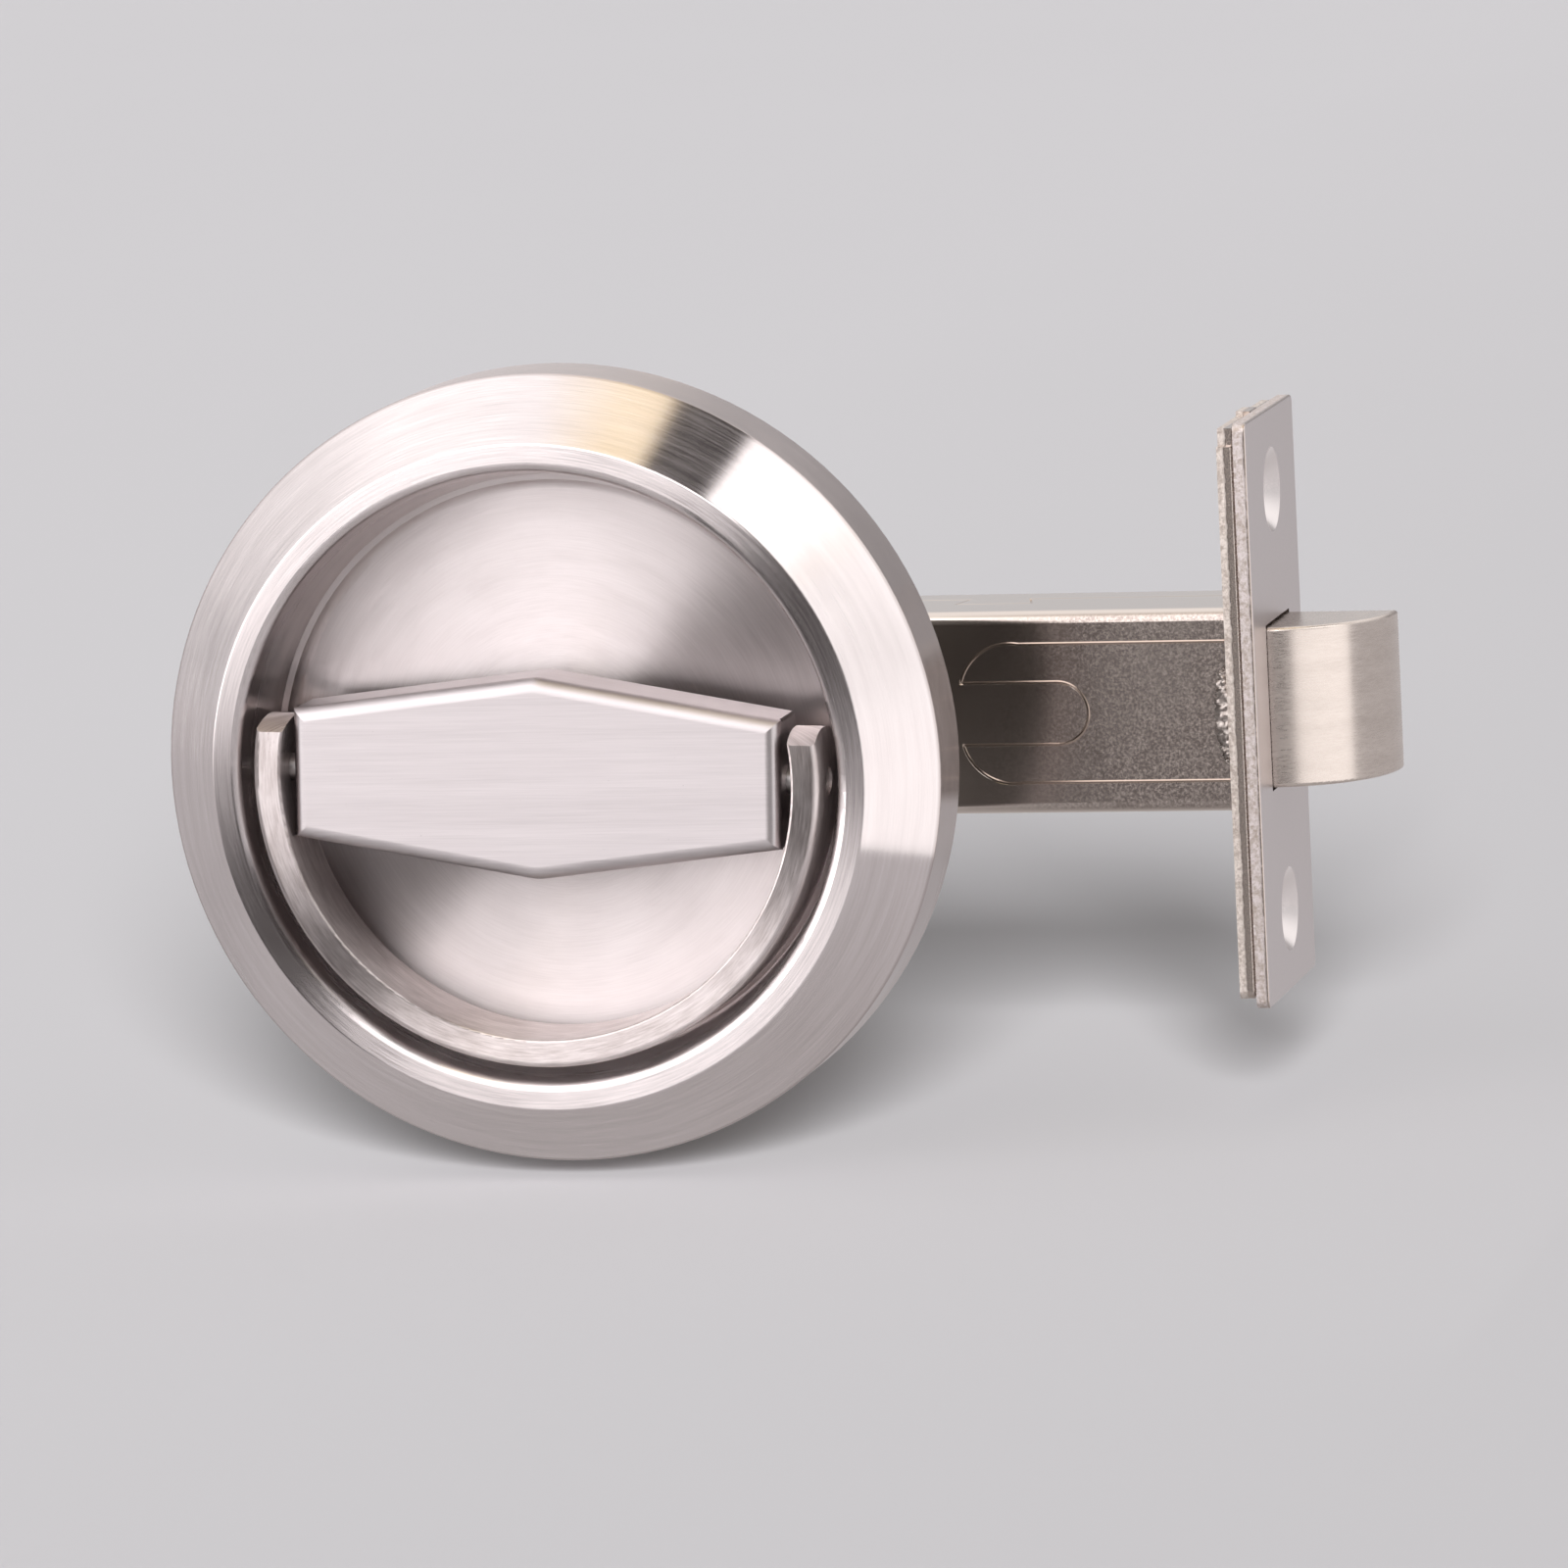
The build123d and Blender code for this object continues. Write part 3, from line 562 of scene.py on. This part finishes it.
def floor_paper():
    """Matt, softly mottled paper, with painted shade that darkens it to the right."""
    material = bpy.data.materials.new("floor_paper")
    material.use_nodes = True
    tree = material.node_tree
    shader = tree.nodes["Principled BSDF"]
    place = object_place(tree)
    # Painted shade: the paper darkens towards +X, with a little mottling mixed in
    shade = remap(tree, split(tree, place)[0], floor_shade_start, floor_shade_end, 0.0, 0.9)
    shade = maths(tree, "ADD", shade, product(tree, noise(tree, place, 6.0), 0.1))
    colour = blend_colours(tree, shade, floor_colour, floor_painted_shade_colour)
    tree.links.new(colour, shader.inputs["Base Color"])
    shader.inputs["Roughness"].default_value = 0.9
    shader.inputs["Specular IOR Level"].default_value = 0.1
    return material


def make_floor():
    """Pale floor under the lock. The metal mirrors the ground of the tent in its place."""
    bpy.ops.object.select_all(action="DESELECT")
    bpy.ops.mesh.primitive_plane_add(size=floor_size, location=(0.0, 0.0, cad_box[0].z - floor_gap))
    floor = bpy.context.object
    floor.name = "floor"
    floor.visible_glossy = False
    floor.data.materials.append(floor_paper())


def along(tree, direction, aim):
    """How far a direction points along an aim."""
    return vector_maths(tree, "DOT_PRODUCT", direction, aim)["Value"]


def paint_surroundings(tree, direction):
    """Roof and horizon of the tent, darker behind on the right, and its ground."""
    part = split(tree, direction)
    height = part[2]
    sky = blend_colours(tree, rise(tree, height, 0.15, 0.8), horizon_colour, tent_colour)
    behind = product(tree, rise(tree, part[1], 0.55, 0.75), rise(tree, part[0], -0.2, 0.0))
    behind = product(tree, behind, fall(tree, height, 0.3, 0.5))
    sky = blend_colours(tree, behind, sky, behind_colour)
    ground = blend_colours(tree, rise(tree, height, -0.9, -0.5), under_colour, ground_colour)
    return blend_colours(tree, rise(tree, height, -0.02, 0.02), ground, sky)


def paint_front(tree, direction, colour):
    """The bright panel in front on the left, and the dark opening that its edge cuts in two."""
    part = split(tree, direction)
    right = rise(tree, along(tree, direction, panel_across), panel_edge, panel_edge + 0.03)
    left = maths(tree, "SUBTRACT", 1.0, right)
    panel = product(tree, rise(tree, along(tree, direction, panel_direction), 0.64, 0.82), left)
    panel = product(tree, panel, rise(tree, part[2], -0.15, -0.05))
    colour = blend_colours(tree, panel, colour, panel_colour)
    lowness = along(tree, direction, opening_across)
    above = fall(tree, lowness, opening_edge - 0.1, opening_edge)
    below = rise(tree, lowness, opening_edge - 0.03, opening_edge)
    opening = maths(tree, "ADD", product(tree, right, above), product(tree, left, below))
    spread = vector_maths(tree, "DIVIDE", direction, opening_spread)[0]
    flat = vector_maths(tree, "MULTIPLY", spread, (1.0, 0.0, 1.0))[0]
    middle = [place / width for place, width in zip(opening_middle, opening_spread)]
    off_middle = vector_maths(tree, "DISTANCE", flat, middle)["Value"]
    opening = maths(tree, "MAXIMUM", opening, fall(tree, off_middle, 0.8, 1.2))
    opening = product(tree, opening, fall(tree, part[1], -0.55, -0.35))
    return blend_colours(tree, opening, colour, shade_colour)


def paint_overhead(tree, direction, colour):
    """The warm lamp overhead, the dark gap beside it and the tent beyond."""
    overhead = rise(tree, along(tree, direction, gap_direction), 0.80, 0.88)
    across = along(tree, direction, gap_across)
    strips = (
        (-0.64, -0.42, warm_colour),
        (-0.30, -0.25, shade_colour),
        (-0.04, 0.0, tent_colour),
    )
    for start, end, strip_colour in strips:
        strip = product(tree, overhead, rise(tree, across, start, end))
        colour = blend_colours(tree, strip, colour, strip_colour)
    return colour


def make_tent():
    """White tent all round that the metal mirrors in full and matt things receive in part."""
    world = bpy.data.worlds.new("light_tent")
    bpy.context.scene.world = world
    world.use_nodes = True
    tree = world.node_tree
    direction = add_node(tree, "TexCoord").outputs["Generated"]
    colour = paint_surroundings(tree, direction)
    colour = paint_front(tree, direction, colour)
    colour = paint_overhead(tree, direction, colour)
    mirrored = add_node(tree, "LightPath").outputs["Is Glossy Ray"]
    background = tree.nodes["Background"]
    tree.links.new(colour, background.inputs["Color"])
    tree.links.new(remap(tree, mirrored, 0.0, 1.0, tent_on_floor, 1.0), background.inputs["Strength"])


def aim_lamp(name, lamp, direction):
    """Put a lamp in the scene so that it shines along a direction."""
    made = bpy.data.objects.new(name, lamp)
    bpy.context.scene.collection.objects.link(made)
    made.rotation_euler = direction.to_track_quat("-Z", "Y").to_euler()
    return made


def make_key():
    """Sun-like key from above the camera that throws the shadow behind the lock."""
    lamp = bpy.data.lights.new("key", "SUN")
    lamp.energy = key_strength
    lamp.angle = key_spread
    key = aim_lamp("key", lamp, -key_direction)
    key.visible_glossy = False


def make_card():
    """White card close on the right that only the metal mirrors. At brightness 1 its face is white."""
    lamp = bpy.data.lights.new("right_card", "AREA")
    lamp.shape = "RECTANGLE"
    lamp.size = card_width
    lamp.size_y = card_height
    lamp.energy = card_brightness * pi * card_width * card_height
    lamp.color = card_colour
    card = aim_lamp("right_card", lamp, card_aim)
    card.location = card_place
    card.visible_diffuse = False


def make_camera():
    """Camera at the photograph's viewing angle."""
    back = Vector((
        sin(camera_azimuth) * cos(camera_elevation),
        -cos(camera_azimuth) * cos(camera_elevation),
        sin(camera_elevation),
    ))
    right = Vector((cos(camera_azimuth), sin(camera_azimuth), 0.0))
    up = back.cross(right)
    rolled_right = right * cos(camera_roll) + up * sin(camera_roll)
    rolled_up = up * cos(camera_roll) - right * sin(camera_roll)
    place = Matrix((rolled_right, rolled_up, back)).transposed().to_4x4()
    place.translation = camera_target + back * camera_distance
    lens = bpy.data.cameras.new("camera")
    lens.lens = camera_lens
    lens.clip_start = 0.05
    camera = bpy.data.objects.new("camera", lens)
    camera.matrix_world = place
    bpy.context.scene.collection.objects.link(camera)
    bpy.context.scene.camera = camera


dress_cad()
add_weld()
add_spring()
make_floor()
make_tent()
make_key()
make_card()
make_camera()
bpy.context.scene.view_settings.view_transform = "Standard"
